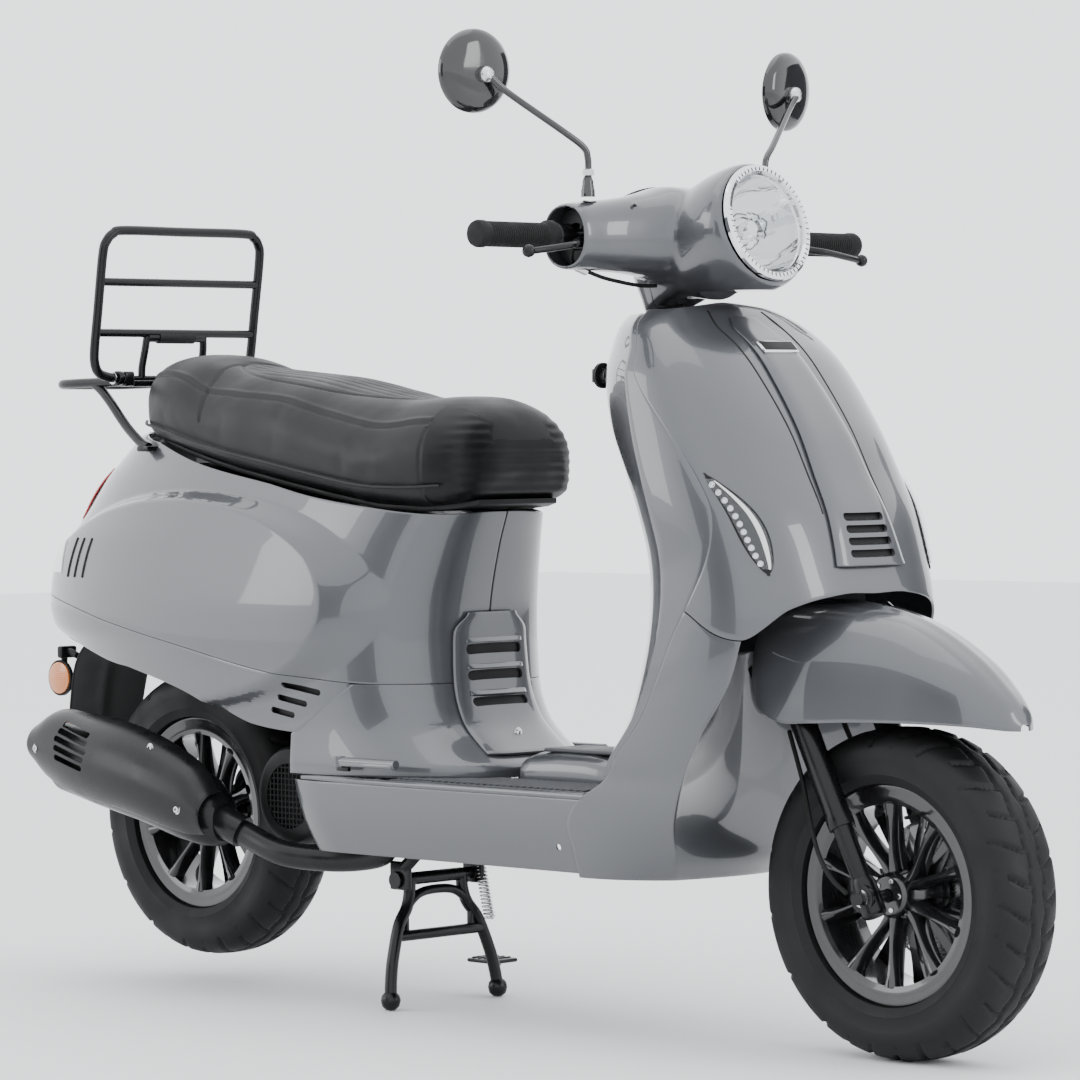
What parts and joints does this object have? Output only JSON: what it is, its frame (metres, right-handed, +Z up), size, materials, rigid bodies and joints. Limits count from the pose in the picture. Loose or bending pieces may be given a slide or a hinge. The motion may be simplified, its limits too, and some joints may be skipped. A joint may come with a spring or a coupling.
{
  "type": "moped scooter",
  "caption": "Retro step-through moped scooter with swing engine, round headlight cowl, leg shield, long seat, rear rack with folding backrest and centre stand.",
  "frame": {"origin": "on the ground below the middle of the scooter's overall box, standing on its centre stand", "axes": "+Z up, -Y the way it rides, +X to the rider's left"},
  "size_m": [0.724, 1.8564, 1.3164],
  "materials": {
    "paint": "glossy metallic grey lacquer",
    "black_paint": "satin black",
    "black_alloy": "gloss black lacquer on cast alloy",
    "black_plastic": "grained black",
    "grip_rubber": "ribbed rubber",
    "tyre": "moulded tread",
    "alloy": "cast and clear coated",
    "steel": "machined",
    "vinyl": "fine grained vinyl with sewn channels",
    "clear_lens": "clear",
    "red_lens": "red, prismatic"
  },
  "bodies": {
    "chassis": {"frame": "black_paint", "leg_shield": "paint", "centre_cover": "paint", "inner_leg_shield": "paint", "front_signal_right": "clear_lens", "front_signal_left": "clear_lens", "lower_front_panel": "paint", "floorboard": "paint", "side_skirt_right": "paint", "side_skirt_left": "paint", "under_seat_panel": "paint", "access_cover": "paint", "side_panel_right": "paint", "side_panel_left": "paint", "lower_trim_right": "paint", "lower_trim_left": "paint", "tail_light": "red_lens", "rear_mudguard": "black_plastic", "seat_bucket": "black_plastic", "fuel_tank": "black_plastic", "rack_base": "black_paint"},
    "steering": {"fork_upper": "black_paint", "front_fender": "paint", "handlebar": "black_paint", "left_grip": "grip_rubber", "cowl_front": "paint", "cowl_rear": "paint", "headlight_unit": "steel", "headlight_lens": "clear_lens"},
    "throttle": {"throttle_grip": "grip_rubber"},
    "brake_lever_right": {"brake_lever_right": "black_paint"},
    "brake_lever_left": {"brake_lever_left": "black_paint"},
    "mirror_right": {"mirror_right": "black_plastic"},
    "mirror_left": {"mirror_left": "black_plastic"},
    "start_button": {"start_button": "black_plastic"},
    "horn_button": {"horn_button": "black_plastic"},
    "signal_switch": {"signal_switch": "black_plastic"},
    "fork": {"fork_slider": "black_paint", "speedo_cable": "black_plastic"},
    "front_wheel": {"front_tyre": "tyre", "front_rim": "black_alloy", "brake_disc": "steel"},
    "engine": {"engine_case": "alloy", "engine_shroud": "black_plastic", "exhaust": "black_paint", "heat_shield": "black_paint", "air_box": "black_plastic"},
    "rear_wheel": {"rear_tyre": "tyre", "rear_rim": "black_alloy"},
    "kick_lever": {"kick_lever": "black_paint"},
    "shock_upper": {"shock_damper": "alloy", "shock_spring": "black_paint"},
    "shock_lower": {"shock_rod": "steel"},
    "stand": {"centre_stand": "black_paint"},
    "seat": {"seat_base": "black_plastic", "seat_cushion": "vinyl"},
    "rack": {"rack_backrest": "black_paint"},
    "footpeg_right": {"footpeg_right": "black_paint"},
    "footpeg_left": {"footpeg_left": "black_paint"},
    "ignition": {"ignition_key": "steel"}
  },
  "joints": [
    {"name": "steering_turn", "type": "hinge", "parent": "chassis", "child": "steering", "pos_m": [0, -0.7956, 0], "axis": [0, 0.4462, 0.8949], "range_deg": [-38, 38]},
    {"name": "fork_travel", "type": "slide", "parent": "steering", "child": "fork", "axis": [0, 0.4462, 0.8949], "range_m": [0, 0.06], "stiffness_N_per_m": 9000, "springref_m": -0.07},
    {"name": "front_wheel_spin", "type": "hinge", "parent": "fork", "child": "front_wheel", "pos_m": [0, -0.7206, 0.211], "axis": [1, 0, 0], "continuous": true},
    {"name": "throttle_turn", "type": "hinge", "parent": "steering", "child": "throttle", "pos_m": [-0.3, -0.318, 1.05], "axis": [-1, 0, 0], "range_deg": [0, 80], "stiffness_Nm_per_rad": 0.3, "springref_deg": -17.19},
    {"name": "brake_lever_right_pull", "type": "hinge", "parent": "steering", "child": "brake_lever_right", "pos_m": [-0.186, -0.344, 1.044], "axis": [0, 0, -1], "range_deg": [0, 14], "stiffness_Nm_per_rad": 4, "springref_deg": -5.73},
    {"name": "brake_lever_left_pull", "type": "hinge", "parent": "steering", "child": "brake_lever_left", "pos_m": [0.186, -0.344, 1.044], "axis": [0, 0, 1], "range_deg": [0, 14], "stiffness_Nm_per_rad": 4, "springref_deg": -5.73},
    {"name": "mirror_right_turn", "type": "hinge", "parent": "steering", "child": "mirror_right", "pos_m": [-0.168, -0.328, 1.115], "axis": [0, 0, 1], "range_deg": [-45, 45]},
    {"name": "mirror_left_turn", "type": "hinge", "parent": "steering", "child": "mirror_left", "pos_m": [0.168, -0.328, 1.115], "axis": [0, 0, 1], "range_deg": [-45, 45]},
    {"name": "start_button_press", "type": "slide", "parent": "steering", "child": "start_button", "axis": [0, -1, 0], "range_m": [0, 0.003], "stiffness_N_per_m": 300, "springref_m": -0.002},
    {"name": "horn_button_press", "type": "slide", "parent": "steering", "child": "horn_button", "axis": [0, -1, 0], "range_m": [0, 0.003], "stiffness_N_per_m": 300, "springref_m": -0.002},
    {"name": "signal_switch_slide", "type": "slide", "parent": "steering", "child": "signal_switch", "axis": [1, 0, 0], "range_m": [-0.004, 0.004]},
    {"name": "engine_swing", "type": "hinge", "parent": "chassis", "child": "engine", "pos_m": [0, 0.205, 0.302], "axis": [1, 0, 0], "range_deg": [0, 8], "stiffness_Nm_per_rad": 1500, "springref_deg": -5.73, "deforming": ["shock_spring"]},
    {"name": "rear_wheel_spin", "type": "hinge", "parent": "engine", "child": "rear_wheel", "pos_m": [0, 0.6164, 0.246], "axis": [1, 0, 0], "continuous": true},
    {"name": "kick_lever_swing", "type": "hinge", "parent": "engine", "child": "kick_lever", "pos_m": [0.16, 0.3, 0.262], "axis": [-1, 0, 0], "range_deg": [0, 60], "stiffness_Nm_per_rad": 4, "springref_deg": -28.65},
    {"name": "shock_upper_pivot", "type": "hinge", "parent": "chassis", "child": "shock_upper", "pos_m": [0.11, 0.611, 0.655], "axis": [1, 0, 0], "range_deg": [-2.5, 0]},
    {"name": "shock_lower_pivot", "type": "hinge", "parent": "engine", "child": "shock_lower", "pos_m": [0.11, 0.611, 0.332], "axis": [1, 0, 0], "range_deg": [-11, 0]},
    {"name": "stand_fold", "type": "hinge", "parent": "chassis", "child": "stand", "pos_m": [0, 0.152, 0.178], "axis": [1, 0, 0], "range_deg": [0, 78]},
    {"name": "seat_open", "type": "hinge", "parent": "chassis", "child": "seat", "pos_m": [0, 0.004, 0.694], "axis": [1, 0, 0], "range_deg": [0, 70]},
    {"name": "rack_fold", "type": "hinge", "parent": "chassis", "child": "rack", "pos_m": [0, 0.712, 0.884], "axis": [-1, 0, 0], "range_deg": [0, 84]},
    {"name": "footpeg_right_fold", "type": "hinge", "parent": "chassis", "child": "footpeg_right", "pos_m": [-0.201, 0.128, 0.352], "axis": [0, 0, -1], "range_deg": [0, 90]},
    {"name": "footpeg_left_fold", "type": "hinge", "parent": "chassis", "child": "footpeg_left", "pos_m": [0.201, 0.128, 0.352], "axis": [0, 0, 1], "range_deg": [0, 90]},
    {"name": "ignition_turn", "type": "hinge", "parent": "chassis", "child": "ignition", "pos_m": [-0.062, -0.23, 0.872], "axis": [0, 1, 0], "range_deg": [0, 90]}
  ],
  "couplings": [
    {"joint": "shock_upper_pivot", "follows": "engine_swing", "ratio": -0.218},
    {"joint": "shock_lower_pivot", "follows": "engine_swing", "ratio": -1.218}
  ]
}
